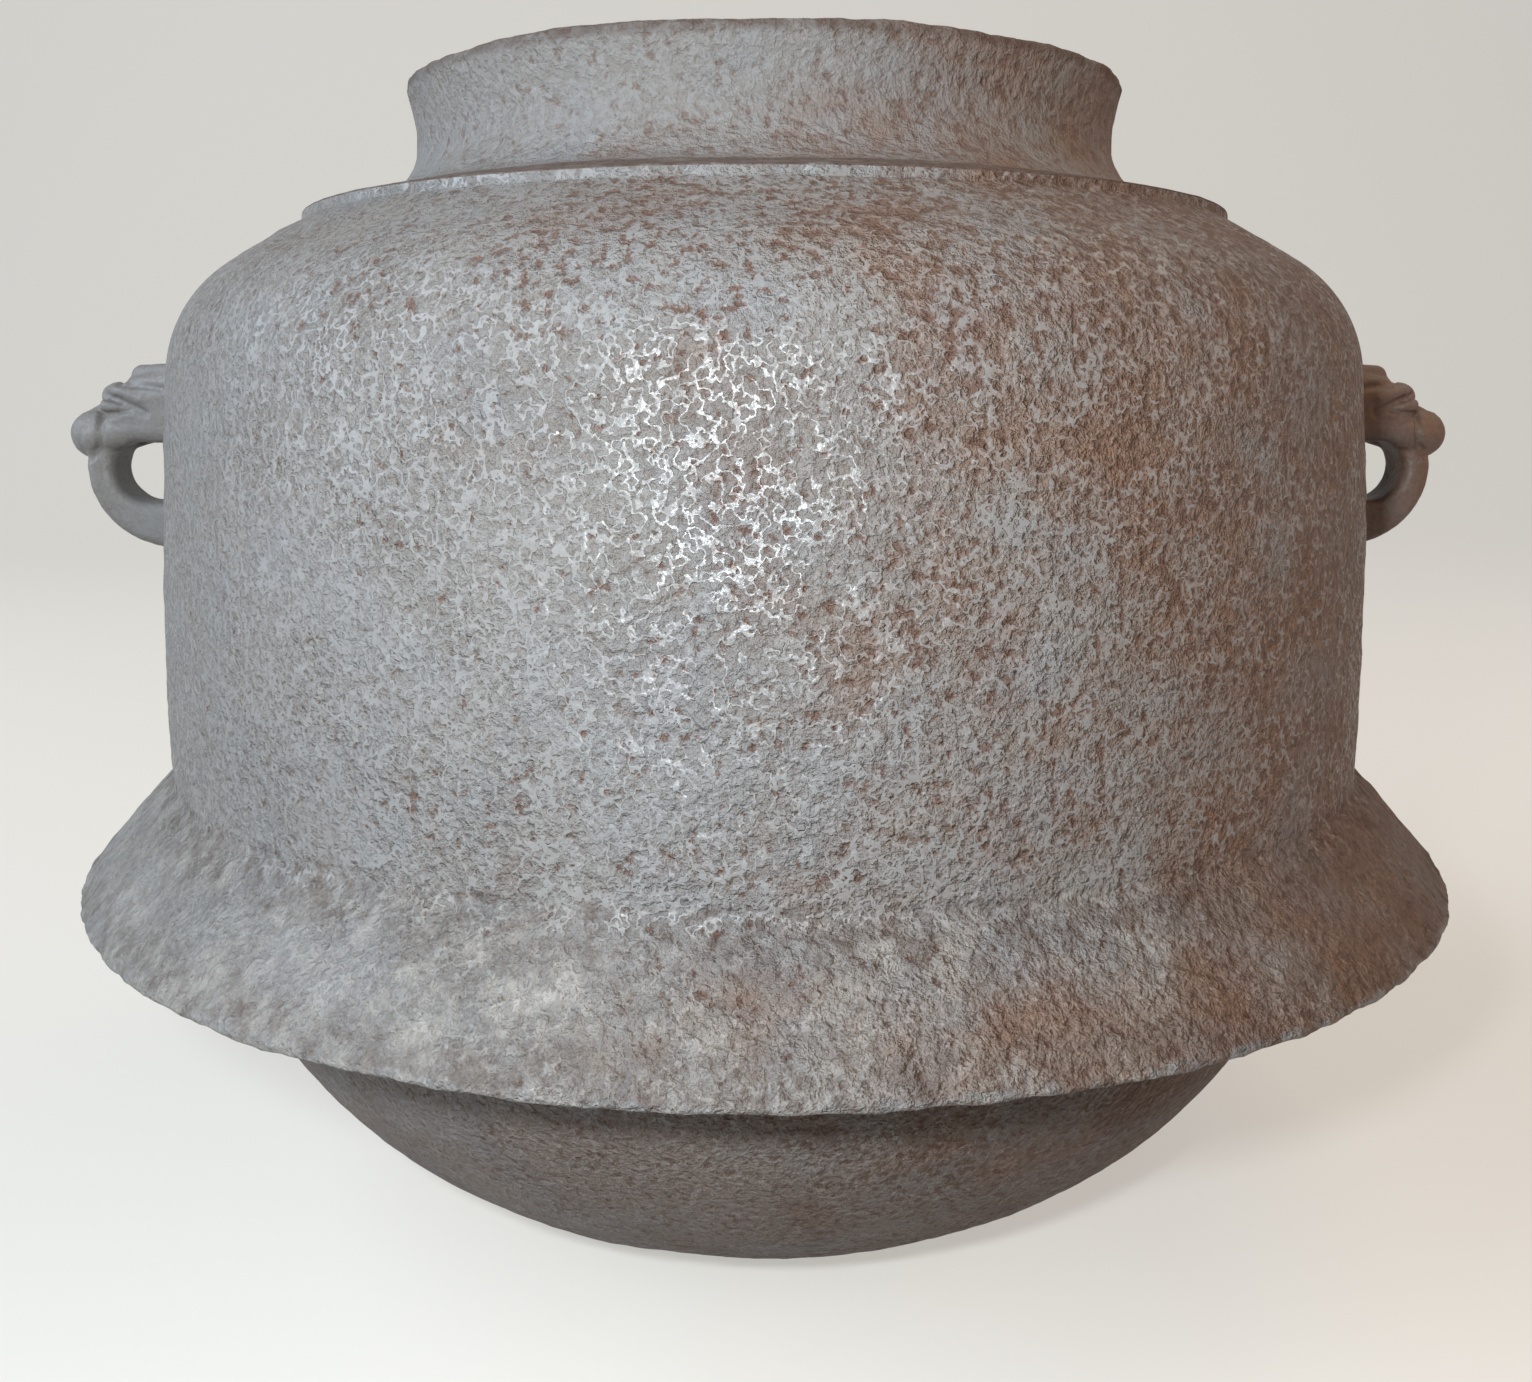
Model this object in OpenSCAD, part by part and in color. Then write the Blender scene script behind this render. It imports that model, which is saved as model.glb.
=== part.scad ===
// Cast-iron tea kettle of the brimmed kind: a drum with a stepped shoulder and a flared mouth,
// a sloping brim, a rounded bottom pan, two mask lugs and a drop-in bronze lid.
// The frame stands on the centre of the foot, +Z up, with the lugs on the X axis.

/* [Brim] */
// Diameter across the brim
brim_d = 250; // [240:1:262]
// Height of the brim's seat above the foot
seat_h = 62; // [55:0.5:70]
// Thickness of the brim
brim_t = 3.6; // [2.8:0.1:4.6]
// Height of the brim's upright edge
brim_edge = 1.6; // [1:0.1:2.4]
// Slope of the brim below the level, in degrees
brim_slope = 47; // [42:0.5:52]
// Radius of the hollow where the drum rises from the brim
brim_fillet = 6; // [3:0.5:9]

/* [Drum] */
// Diameter of the drum at its foot
drum_d = 216.8; // [210:0.2:224]
// Height of the drum from the brim's hollow to the shoulder's curve
drum_h = 66.7; // [60:0.1:76]
// Lean of the wall where the drum meets the shoulder, in degrees
drum_lean = 5.7; // [4:0.1:7.5]
// Thickness of the drum's wall
wall = 4; // [3.4:0.1:4.8]

/* [Shoulder] */
// Radius of the shoulder's curve
shoulder_curve = 23.5; // [19:0.5:27]
// Slope of the shoulder below the level, in degrees
shoulder_slope = 30.8; // [26:0.2:35]
// Diameter of the ring on the shoulder
ring_d = 164; // [158:1:169]
// Height of the ring's riser
ring_h = 1.6; // [1:0.1:3]
// Slope of the ring's top below the level, in degrees
ring_slope = 12; // [8:0.5:18]

/* [Mouth] */
// Outer diameter of the neck at its waist
waist_d = 123.8; // [119:0.2:128]
// Radius of the hollow between the ring and the waist
neck_curve = 10; // [8:0.5:12]
// Radius of the flare between the waist and the lip
lip_curve = 26; // [22:0.5:32]
// Height of the lip above the waist
lip_rise = 10.1; // [9.6:0.1:12]
// Radius of the lip's outer edge
lip_round = 1.2; // [0.6:0.1:1.8]
// Thickness of the neck's wall
neck_wall = 5.5; // [5:0.1:6.4]
// Width of the ledge that carries the lid
ledge_w = 3; // [2.4:0.1:3.4]
// Depth of that ledge below the lip
ledge_depth = 7; // [6:0.1:8.6]

/* [Bottom pan] */
// Diameter of the flat foot
foot_d = 92; // [84:1:104]
// Radius of the bowl's curve
bowl_curve = 80; // [76:0.5:90]
// Thickness of the pan's wall
pan_wall = 3.6; // [3:0.1:4.4]
// Thickness of the pan's floor
floor_t = 4; // [3.4:0.1:5]
// Width of the putty seam round the pan's collar
seam_w = 0.8; // [0.5:0.1:1.2]
// Height of the collar inside the drum, above the brim's root
collar_lap = 16; // [10:0.5:24]
// Size of the putty bead on the collar
bead = 3.2; // [2:0.1:4]

/* [Lugs] */
// Height of the eye's centre above the brim's seat
eye_h = 71.3; // [64:0.1:76]
// Radius of the eye
eye_r = 6; // [5.2:0.1:6.8]
// Distance of the eye's centre from the wall
eye_out = 8.1; // [7.3:0.1:8.9]
// Thickness of the loop at its outer side
loop_t = 5.2; // [4.6:0.1:6]
// Thickness of the loop at its root on the wall
root_t = 11; // [9.5:0.1:12.5]
// Width of the loop
loop_w = 11; // [9:0.5:13]
// Radius of the loop's edges
loop_round = 2; // [1.2:0.1:2.2]
// Reach of the snout from the wall
lug_reach = 22.8; // [21:0.1:24.6]
// Height of the head above the eye
head_h = 14; // [12:0.5:16]
// Width of the head across the brows
head_w = 23; // [20:0.5:26]
// Diameter of the tenons that hold a lug in the wall
tenon_d = 6; // [5:0.1:7]
// Length of a tenon inside the wall
tenon_l = 2.4; // [1.8:0.1:2.8]

/* [Singing plates] */
// Length of a plate
plate_l = 23; // [19:0.5:26]
// Width of a plate at its outer end
plate_w = 17; // [14:0.5:20]
// Width of a plate at its inner end
plate_w_in = 11; // [9:0.5:13]
// Thickness of a plate
plate_t = 2; // [1.5:0.1:3]
// Distance of a plate's inner end from the middle of the floor
plate_in = 14; // [12:0.5:16]
// Radius of a plate's corners
plate_corner = 2; // [1.2:0.1:3]
// Diameter of the lacquer pad under a plate
pad_d = 8; // [6:0.5:9]
// Thickness of the pad
pad_t = 1; // [0.6:0.1:1.6]

/* [Lid] */
// Thickness of the lid's edge
lid_edge = 3; // [2.6:0.1:4]
// Rise of the crown above the edge
lid_crown = 3; // [2:0.1:5]
// Thickness of the lid's plate
lid_t = 2.6; // [2:0.1:3]
// Radial clearance of the lid in the mouth
lid_gap = 0.4; // [0.3:0.05:0.8]
// Drop of the ring that centres the lid
spigot_h = 4; // [2.5:0.1:6]
// Thickness of that ring
spigot_t = 2.4; // [1.8:0.1:3]
// Radial clearance of that ring in the neck
spigot_gap = 0.8; // [0.5:0.1:1.4]

/* [Knob] */
// Diameter of the knob
knob_d = 15; // [13:0.5:18]
// Height of the knob above its seat
knob_h = 12.4; // [11.4:0.1:14]
// Diameter of the knob's stem
stem_d = 9.4; // [8.6:0.1:11]
// Height of the stem
stem_h = 1.4; // [1:0.1:2]
// Height of the nib on the knob
nib_h = 1.6; // [1:0.1:2.2]
// Diameter of the flower seat under the knob
flower_d = 26; // [22:0.5:30]
// Thickness of the flower seat
flower_t = 2; // [1.4:0.1:3]
// Diameter of the pin through the lid
pin_d = 5; // [4:0.1:6]
// Depth of the pin's socket in the knob
socket_h = 6; // [4:0.1:7]
// Diameter of the washer under the lid
washer_d = 15; // [12:0.5:18]
// Thickness of the washer
washer_t = 1.2; // [0.8:0.1:2]
// Diameter of the pin's hammered head
head_d = 8.4; // [7.4:0.1:10]
// Height of that head
pin_head_h = 1.8; // [1.2:0.1:2.6]

/* [Hidden] */
$fn = 144;
iron = [0.38, 0.34, 0.32];
dark_iron = [0.27, 0.24, 0.23];
bronze = [0.40, 0.30, 0.20];
lacquer = [0.16, 0.09, 0.07];
arc_steps = 12;
loop_steps = 16;
round_steps = 4;
pin_fit = 0.1;
lug_fit = 0.05;
seam_fit = 0.15;
plate_count = 5;
petal_count = 12;
flute_count = 8;
flute_r = 1.8;
flute_cut = 0.7;
past = 5;

brim_r = brim_d / 2;
drum_r = drum_d / 2;
ring_r = ring_d / 2;
waist_r = waist_d / 2;
foot_r = foot_d / 2;
inner_r = drum_r - wall;

// Brim: its top runs from the hollow to the edge, its underside lies one thickness below
hollow_turn = 90 - brim_slope;
brim_top_r = drum_r + brim_fillet * (1 - cos(hollow_turn));
brim_top_z = seat_h + brim_edge + (brim_r - brim_top_r) * tan(brim_slope);
spring_z = brim_top_z + brim_fillet * sin(hollow_turn);
seat_r = brim_r - (brim_t / cos(brim_slope) - brim_edge) / tan(brim_slope);
root_z = seat_h + (seat_r - inner_r) * tan(brim_slope);

// Drum: one arc, upright where it springs from the brim
drum_curve = drum_h / sin(drum_lean);
drum_mid = [drum_r - drum_curve, spring_z];
shoulder_mid = drum_mid + (drum_curve - shoulder_curve) * [cos(drum_lean), sin(drum_lean)];
shoulder_end = shoulder_mid + shoulder_curve * [sin(shoulder_slope), cos(shoulder_slope)];
ring_foot_z = shoulder_end[1] + (shoulder_end[0] - ring_r) * tan(shoulder_slope);
ring_z = ring_foot_z + ring_h;

// Mouth: a waist between two hollows, the lower one tangent to the ring's top
waist_z = ring_z + (ring_r - waist_r - neck_curve) * tan(ring_slope) + neck_curve / cos(ring_slope);
lip_z = waist_z + lip_rise;
ledge_z = lip_z - ledge_depth;
neck_r = waist_r - neck_wall;
mouth_r = neck_r + ledge_w;
lower_neck = [waist_r + neck_curve, waist_z];
upper_neck = [waist_r + lip_curve, waist_z];

// Bottom pan: the bowl is one arc between the collar and the foot
collar_r = inner_r - seam_w;
collar_z = root_z + collar_lap;
bowl_top = [collar_r, seat_h];
bowl_foot = [foot_r, 0];
bowl_chord = bowl_foot - bowl_top;
bowl_rise = sqrt(pow(bowl_curve, 2) - pow(norm(bowl_chord) / 2, 2));
bowl_mid = (bowl_top + bowl_foot) / 2 + bowl_rise * [bowl_chord[1], -bowl_chord[0]] / norm(bowl_chord);
bowl_in = bowl_curve - pan_wall;

// Lugs
eye_z = seat_h + eye_h;
jaw_z = eye_z + eye_r;
lug_wall_r = wall_radius(eye_z);
head_tenon_z = jaw_z + 0.45 * head_h;
foot_tenon_z = eye_z - eye_r - root_t / 2;

// Lid
lid_r = mouth_r - lid_gap;
spigot_r = neck_r - spigot_gap;
boss_r = flower_d / 2;
crown_z = ledge_z + lid_edge + lid_crown;
flower_z = crown_z + flower_t;
washer_z = crown_z - lid_t - washer_t;
knob_r = knob_d / 2;
belly_z = knob_h - nib_h - knob_r;

// Points on an arc about a centre, from one angle to another
function arc(mid, r, from, to) =
    [for (i = [0:arc_steps]) let (a = from + (to - from) * i / arc_steps) mid + r * [cos(a), sin(a)]];

// Outer radius of the drum at a height
function wall_radius(z) = drum_mid[0] + sqrt(pow(drum_curve, 2) - pow(z - drum_mid[1], 2));

// Outline of the drum and shoulder, set in from the outer face by a depth
function drum_path(depth) = concat(
    arc(drum_mid, drum_curve - depth, 0, drum_lean),
    arc(shoulder_mid, shoulder_curve - depth, drum_lean, 90 - shoulder_slope));

// Outer outline from the brim's edge to the lip
function outer_path() = concat(
    [[seat_r, seat_h], [brim_r, seat_h], [brim_r, seat_h + brim_edge]],
    arc([drum_r + brim_fillet, spring_z], brim_fillet, 180 + hollow_turn, 180),
    drum_path(0),
    [[ring_r, ring_foot_z], [ring_r, ring_z]],
    arc(lower_neck, neck_curve, 270 - ring_slope, 180),
    lip_path());

// Flare of the neck and the round of the lip
function lip_path() = let (
    mid_z = lip_z - lip_round,
    mid_r = upper_neck[0] - sqrt(pow(lip_curve + lip_round, 2) - pow(mid_z - waist_z, 2)),
    turn = asin((mid_z - waist_z) / (lip_curve + lip_round)))
    concat(arc(upper_neck, lip_curve, 180, 180 - turn), arc([mid_r, mid_z], lip_round, -turn, 90));

// Inner outline from the lip to the brim's root
function inner_path() = let (
    flare = lip_curve + neck_wall,
    turn = asin((ledge_z - waist_z) / flare),
    drum_in = drum_path(wall),
    last = len(drum_in) - 1)
    concat([[mouth_r, lip_z], [mouth_r, ledge_z]],
        arc(upper_neck, flare, 180 - turn, 180),
        arc(lower_neck, neck_curve + neck_wall, 180, 240),
        [for (i = [0:last]) drum_in[last - i]],
        [[inner_r, root_z]]);

module upper_body() {
    color(iron)
        difference() {
            rotate_extrude() polygon(concat(outer_path(), inner_path()));
            for (side = [0, 180])
                rotate([0, 0, side]) tenons(pin_fit);
        }
}

module bottom_pan() {
    inner_top = -acos((collar_r - pan_wall - bowl_mid[0]) / bowl_in);
    inner_foot = -asin((bowl_mid[1] - floor_t) / bowl_in);
    outer_top = -acos((collar_r - bowl_mid[0]) / bowl_curve);
    outer_foot = -asin(bowl_mid[1] / bowl_curve);
    color(dark_iron)
        rotate_extrude()
            polygon(concat(
                [[0, 0]],
                arc(bowl_mid, bowl_curve, outer_foot, outer_top),
                [[collar_r, collar_z], [collar_r - pan_wall, collar_z]],
                arc(bowl_mid, bowl_in, inner_top, inner_foot),
                [[0, floor_t]]));
}

// The putty fills the seam round the collar and makes a hollow bead on top of it
module seam_putty() {
    bead_z = collar_z + bead;
    curve_in = drum_curve - wall - seam_fit;
    turn = asin((bead_z - spring_z) / curve_in);
    bead_mid = [drum_mid[0] + curve_in * cos(turn) - bead, bead_z];
    color(lacquer)
        rotate_extrude()
            polygon(concat(
                [[collar_r, collar_z], [collar_r, root_z], [inner_r - seam_fit, root_z]],
                arc(drum_mid, curve_in, 0, turn),
                arc(bead_mid, bead, 0, -90)));
}

// Round tenons of one lug, on the +X side
module tenons(fit) {
    for (z = [head_tenon_z, foot_tenon_z])
        translate([wall_radius(z) - tenon_l - fit, 0, z])
            rotate([0, 90, 0])
                cylinder(d = tenon_d + 2 * fit, h = tenon_l + past);
}

// A ball on the lug, placed by shares of its reach, half width and height above the eye
module ball(out, across, up, r) {
    translate([lug_wall_r + out * lug_reach, across * head_w / 2, jaw_z + up * head_h])
        sphere(r = r, $fn = 18);
}

// Rounded section of the loop, across its thickness and its width
function loop_section(thick) = [for (k = [0:3])
    let (mid = [(k == 0 || k == 3 ? 1 : -1) * (thick / 2 - loop_round),
        (k < 2 ? 1 : -1) * (loop_w / 2 - loop_round)])
    for (i = [0:round_steps]) let (a = 90 * (k + i / round_steps)) mid + loop_round * [cos(a), sin(a)]];

// Thickness of the loop at an angle round the eye; it swells below the eye towards its root
function loop_depth(a) = loop_t + (root_t - loop_t) / 2 * pow(max(0, -a) / 90, 2);

// The loop below the head, swept round the eye from the jaw and straight back into the wall
module loop_band() {
    turns = [for (i = [0:loop_steps]) 55 - 145 * i / loop_steps];
    rings = concat(
        [for (a = turns) let (thick = loop_depth(a))
            [for (p = loop_section(thick)) let (r = eye_r + thick / 2 + p[0])
                [eye_out + r * cos(a), p[1], r * sin(a)]]],
        [[for (p = loop_section(root_t)) [-past, p[1], -(eye_r + root_t / 2 + p[0])]]]);
    count = len(rings[0]);
    last = len(rings) - 1;
    sides = [for (i = [0:last - 1], j = [0:count - 1]) let (k = (j + 1) % count)
        [i * count + j, i * count + k, (i + 1) * count + k, (i + 1) * count + j]];
    translate([lug_wall_r, 0, eye_z])
        polyhedron([for (ring = rings) each ring], concat(sides, [
            [for (j = [0:count - 1]) count - 1 - j],
            [for (j = [0:count - 1]) last * count + j]]));
}

// Mask of an animal: forehead and crest, folded brows, eyes, and a muzzle that runs back to the wall
module mask_head() {
    brow = 0.18 * head_h;
    snout = 0.325 * head_h;
    hull() {
        for (s = [-1, 1]) {
            ball(0.02, 0.56 * s, 0.57, 0.34 * head_h);
            ball(0.02, 0.56 * s, 0.24, 0.32 * head_h);
            ball(0.40, 0.40 * s, 0.44, 0.31 * head_h);
            ball(0.47, 0.36 * s, 0.22, 0.295 * head_h);
        }
        ball(0.30, 0, 0.65, 0.26 * head_h);
    }
    // Bridge of the nose and the round snout
    hull() {
        ball(0.59, 0, 0.36, 1.05 * brow);
        ball(0.78, 0, 0.13, 0.76 * snout);
    }
    hull()
        for (s = [-1, 1]) {
            ball(1 - snout / lug_reach, 0.10 * s, 0.02, snout);
            ball(0.70, 0.16 * s, 0.06, 0.88 * snout);
        }
    for (s = [-1, 1]) {
        // Crest
        hull() {
            ball(0.37, 0.17 * s, 0.775, 0.16 * head_h);
            ball(0.03, 0.62 * s, 0.785, 0.165 * head_h);
        }
        // Brow, from its tip back along the side
        hull() {
            ball(0.615, 0.13 * s, 0.51, brow);
            ball(0.43, 0.57 * s, 0.56, 0.96 * brow);
        }
        hull() {
            ball(0.42, 0.575 * s, 0.555, 0.92 * brow);
            ball(0.10, 0.72 * s, 0.50, 0.88 * brow);
        }
        // Eye
        hull() {
            ball(0.565, 0.53 * s, 0.36, 0.165 * head_h);
            ball(0.38, 0.68 * s, 0.29, 0.10 * head_h);
        }
        // Muzzle
        hull() {
            ball(0.745, 0.26 * s, -0.01, 0.25 * head_h);
            ball(0.40, 0.53 * s, 0.115, 0.19 * head_h);
        }
        hull() {
            ball(0.41, 0.525 * s, 0.11, 0.185 * head_h);
            ball(0.05, 0.67 * s, 0.115, 0.205 * head_h);
        }
    }
}

// One lug on the +X side, cut to the drum's face, with its tenons
module lug() {
    difference() {
        union() {
            loop_band();
            mask_head();
        }
        rotate_extrude($fn = 180)
            polygon(concat([[0, spring_z]], drum_path(-lug_fit), [[0, shoulder_end[1]]]));
    }
    tenons(0, $fn = 32);
}

module left_lug() {
    color(iron) rotate([0, 0, 180]) lug();
}

module right_lug() {
    color(iron) lug();
}

// Turns a piece to its place round the floor
module at_plate(index) {
    rotate([0, 0, 90 + 360 / plate_count * (index - 1)]) children();
}

// A tapered iron plate with round corners, lying just off the floor on its pad
module singing_plate(index) {
    out_y = plate_w / 2 - plate_corner;
    in_y = plate_w_in / 2 - plate_corner;
    near = plate_in + plate_corner;
    far = plate_in + plate_l - plate_corner;
    color(dark_iron)
        at_plate(index)
            translate([0, 0, floor_t + pad_t])
                linear_extrude(plate_t)
                    polygon(concat(
                        arc([far, out_y], plate_corner, 0, 90),
                        arc([near, in_y], plate_corner, 90, 180),
                        arc([near, -in_y], plate_corner, 180, 270),
                        arc([far, -out_y], plate_corner, 270, 360)));
}

module lacquer_pad(index) {
    color(lacquer)
        at_plate(index)
            translate([plate_in + pad_d / 2 + plate_corner, 0, floor_t])
                cylinder(d = pad_d, h = pad_t);
}

// Height of the lid's top at a radius outside its flat boss
function lid_top(r) =
    ledge_z + lid_edge + lid_crown * (1 - pow((r - boss_r) / (lid_r - boss_r), 2));

module lid() {
    hole_r = pin_d / 2 + pin_fit;
    spigot_in = spigot_r - spigot_t;
    top = [for (i = [0:arc_steps]) let (r = boss_r + (lid_r - boss_r) * i / arc_steps) [r, lid_top(r)]];
    under = [for (i = [0:arc_steps])
        let (r = spigot_in + (boss_r - spigot_in) * i / arc_steps) [r, lid_top(r) - lid_t]];
    color(bronze)
        rotate_extrude()
            polygon(concat(
                [[hole_r, crown_z]], top,
                [[lid_r, ledge_z], [spigot_r, ledge_z], [spigot_r, ledge_z - spigot_h],
                    [spigot_in, ledge_z - spigot_h]],
                under, [[hole_r, crown_z - lid_t]]));
}

// Flower-shaped plate of round petals under the knob
module knob_seat() {
    petal_r = flower_d * PI / petal_count / 2.4;
    color(bronze)
        translate([0, 0, crown_z])
            difference() {
                union() {
                    cylinder(r = boss_r - petal_r, h = flower_t);
                    for (i = [0:petal_count - 1])
                        rotate([0, 0, 360 / petal_count * i])
                            translate([boss_r - petal_r, 0, 0])
                                cylinder(r = petal_r, h = flower_t);
                }
                translate([0, 0, -past]) cylinder(d = pin_d + 2 * pin_fit, h = flower_t + 2 * past);
            }
}

// Fluted bud with a nib, socketed for the pin
module lid_knob() {
    start = asin((stem_h - belly_z) / knob_r);
    nib_r = nib_h * 1.2;
    finish = acos(nib_r / knob_r);
    color(bronze)
        translate([0, 0, flower_z])
            difference() {
                rotate_extrude()
                    polygon(concat(
                        [[0, 0], [stem_d / 2, 0], [stem_d / 2, stem_h]],
                        arc([0, belly_z], knob_r, start, finish),
                        [[nib_r * 0.7, knob_h - nib_h / 3], [0, knob_h]]));
                for (i = [0:flute_count - 1])
                    rotate([0, 0, 360 / flute_count * i])
                        translate([knob_r + flute_r - flute_cut, 0, 0])
                            cylinder(r = flute_r, h = knob_h);
                translate([0, 0, -past])
                    cylinder(d = pin_d + 2 * pin_fit, h = socket_h + past);
            }
}

// Pin from the knob's socket to its hammered head under the washer
module knob_pin() {
    pin_r = pin_d / 2;
    head_r = head_d / 2;
    color(bronze)
        rotate_extrude()
            polygon(concat(
                [[0, flower_z + socket_h], [pin_r, flower_z + socket_h], [pin_r, washer_z],
                    [head_r, washer_z]],
                [for (i = [1:arc_steps]) let (a = 90 * i / arc_steps)
                    [head_r * cos(a), washer_z - pin_head_h * sin(a)]]));
}

module pin_washer() {
    color(bronze)
        translate([0, 0, washer_z])
            difference() {
                cylinder(d = washer_d, h = washer_t);
                translate([0, 0, -past]) cylinder(d = pin_d + 2 * pin_fit, h = washer_t + 2 * past);
            }
}

upper_body();
bottom_pan();
seam_putty();
left_lug();
right_lug();
for (i = [1:plate_count]) {
    singing_plate(i);
    lacquer_pad(i);
}
lid();
knob_seat();
lid_knob();
knob_pin();
pin_washer();
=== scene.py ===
import bpy
import math
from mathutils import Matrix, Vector


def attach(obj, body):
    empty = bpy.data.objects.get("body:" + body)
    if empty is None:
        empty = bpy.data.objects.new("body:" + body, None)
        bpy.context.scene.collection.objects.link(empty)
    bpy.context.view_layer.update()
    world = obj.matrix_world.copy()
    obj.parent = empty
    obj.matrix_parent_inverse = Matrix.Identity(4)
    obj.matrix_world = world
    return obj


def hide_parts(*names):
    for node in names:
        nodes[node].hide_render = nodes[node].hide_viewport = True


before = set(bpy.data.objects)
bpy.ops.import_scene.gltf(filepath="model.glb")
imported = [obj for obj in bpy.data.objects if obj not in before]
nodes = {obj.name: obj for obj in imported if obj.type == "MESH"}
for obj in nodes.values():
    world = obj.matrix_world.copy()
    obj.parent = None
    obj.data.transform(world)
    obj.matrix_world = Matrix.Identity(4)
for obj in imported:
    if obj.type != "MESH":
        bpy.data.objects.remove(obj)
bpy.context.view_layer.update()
mm = 0.001


# Small helpers

def deselectAll():
    if bpy.context.object and bpy.context.object.mode != "OBJECT":
        bpy.ops.object.mode_set(mode="OBJECT")
    bpy.ops.object.select_all(action="DESELECT")


def makeActive(piece):
    deselectAll()
    piece.select_set(True)
    bpy.context.view_layer.objects.active = piece


def applyModifiers(piece):
    makeActive(piece)
    for modifier in list(piece.modifiers):
        bpy.ops.object.modifier_apply(modifier=modifier.name)


def arcPoints(mid, radius, start, end, spacing):
    count = max(2, round(abs(math.radians(end - start)) * radius / spacing))
    turns = [math.radians(start + (end - start) * i / count) for i in range(count + 1)]
    return [(mid[0] + radius * math.cos(t), mid[1] + radius * math.sin(t)) for t in turns]


def linePoints(start, end, spacing):
    count = max(1, round(math.dist(start, end) / spacing))
    return [tuple(a + (b - a) * i / count for a, b in zip(start, end)) for i in range(1, count)]


# Draws an outline with one point, vertex after vertex, and spins it round the kettle's axis
def spinOutline(name, outline, steps):
    deselectAll()
    bpy.ops.mesh.primitive_plane_add(size=mm, location=(0, 0, 0))
    piece = bpy.context.object
    piece.name = name
    bpy.ops.object.mode_set(mode="EDIT")
    bpy.ops.mesh.select_all(action="SELECT")
    bpy.ops.mesh.merge(type="CENTER")
    here = Vector((0, 0, 0))
    for index, point in enumerate(outline):
        there = Vector((point[0], 0, point[1])) * mm
        if index == 0:
            bpy.ops.transform.translate(value=there)
        else:
            bpy.ops.mesh.extrude_region_move(TRANSFORM_OT_translate={"value": there - here})
        here = there
    bpy.ops.mesh.select_all(action="SELECT")
    bpy.ops.mesh.spin(steps=steps, angle=math.tau, center=(0, 0, 0), axis=(0, 0, 1))
    bpy.ops.mesh.select_all(action="SELECT")
    bpy.ops.mesh.remove_doubles(threshold=0.02 * mm)
    bpy.ops.mesh.normals_make_consistent(inside=False)
    bpy.ops.object.mode_set(mode="OBJECT")
    bpy.ops.object.shade_smooth()
    return piece


# A vertex group whose weights follow a rule on radius and height, in millimetres
def weigh(piece, name, rule):
    group = piece.vertex_groups.new(name=name)
    for vertex in piece.data.vertices:
        spot = vertex.co / mm
        weight = rule(math.hypot(spot.x, spot.y), spot.z)
        if weight > 0:
            group.add([vertex.index], min(1.0, weight), "REPLACE")


def lumps(piece, name, size, strength, depth, group="", middle=0.5):
    texture = bpy.data.textures.new(name, "CLOUDS")
    texture.noise_scale = size * mm
    texture.noise_depth = depth
    modifier = piece.modifiers.new(name, "DISPLACE")
    modifier.texture = texture
    modifier.texture_coords = "LOCAL"
    modifier.strength = strength * mm
    modifier.mid_level = middle
    modifier.vertex_group = group


def fadeIn(value, low, high):
    share = min(1.0, max(0.0, (value - low) / (high - low)))
    return share * share * (3 - 2 * share)


# Materials

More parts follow.
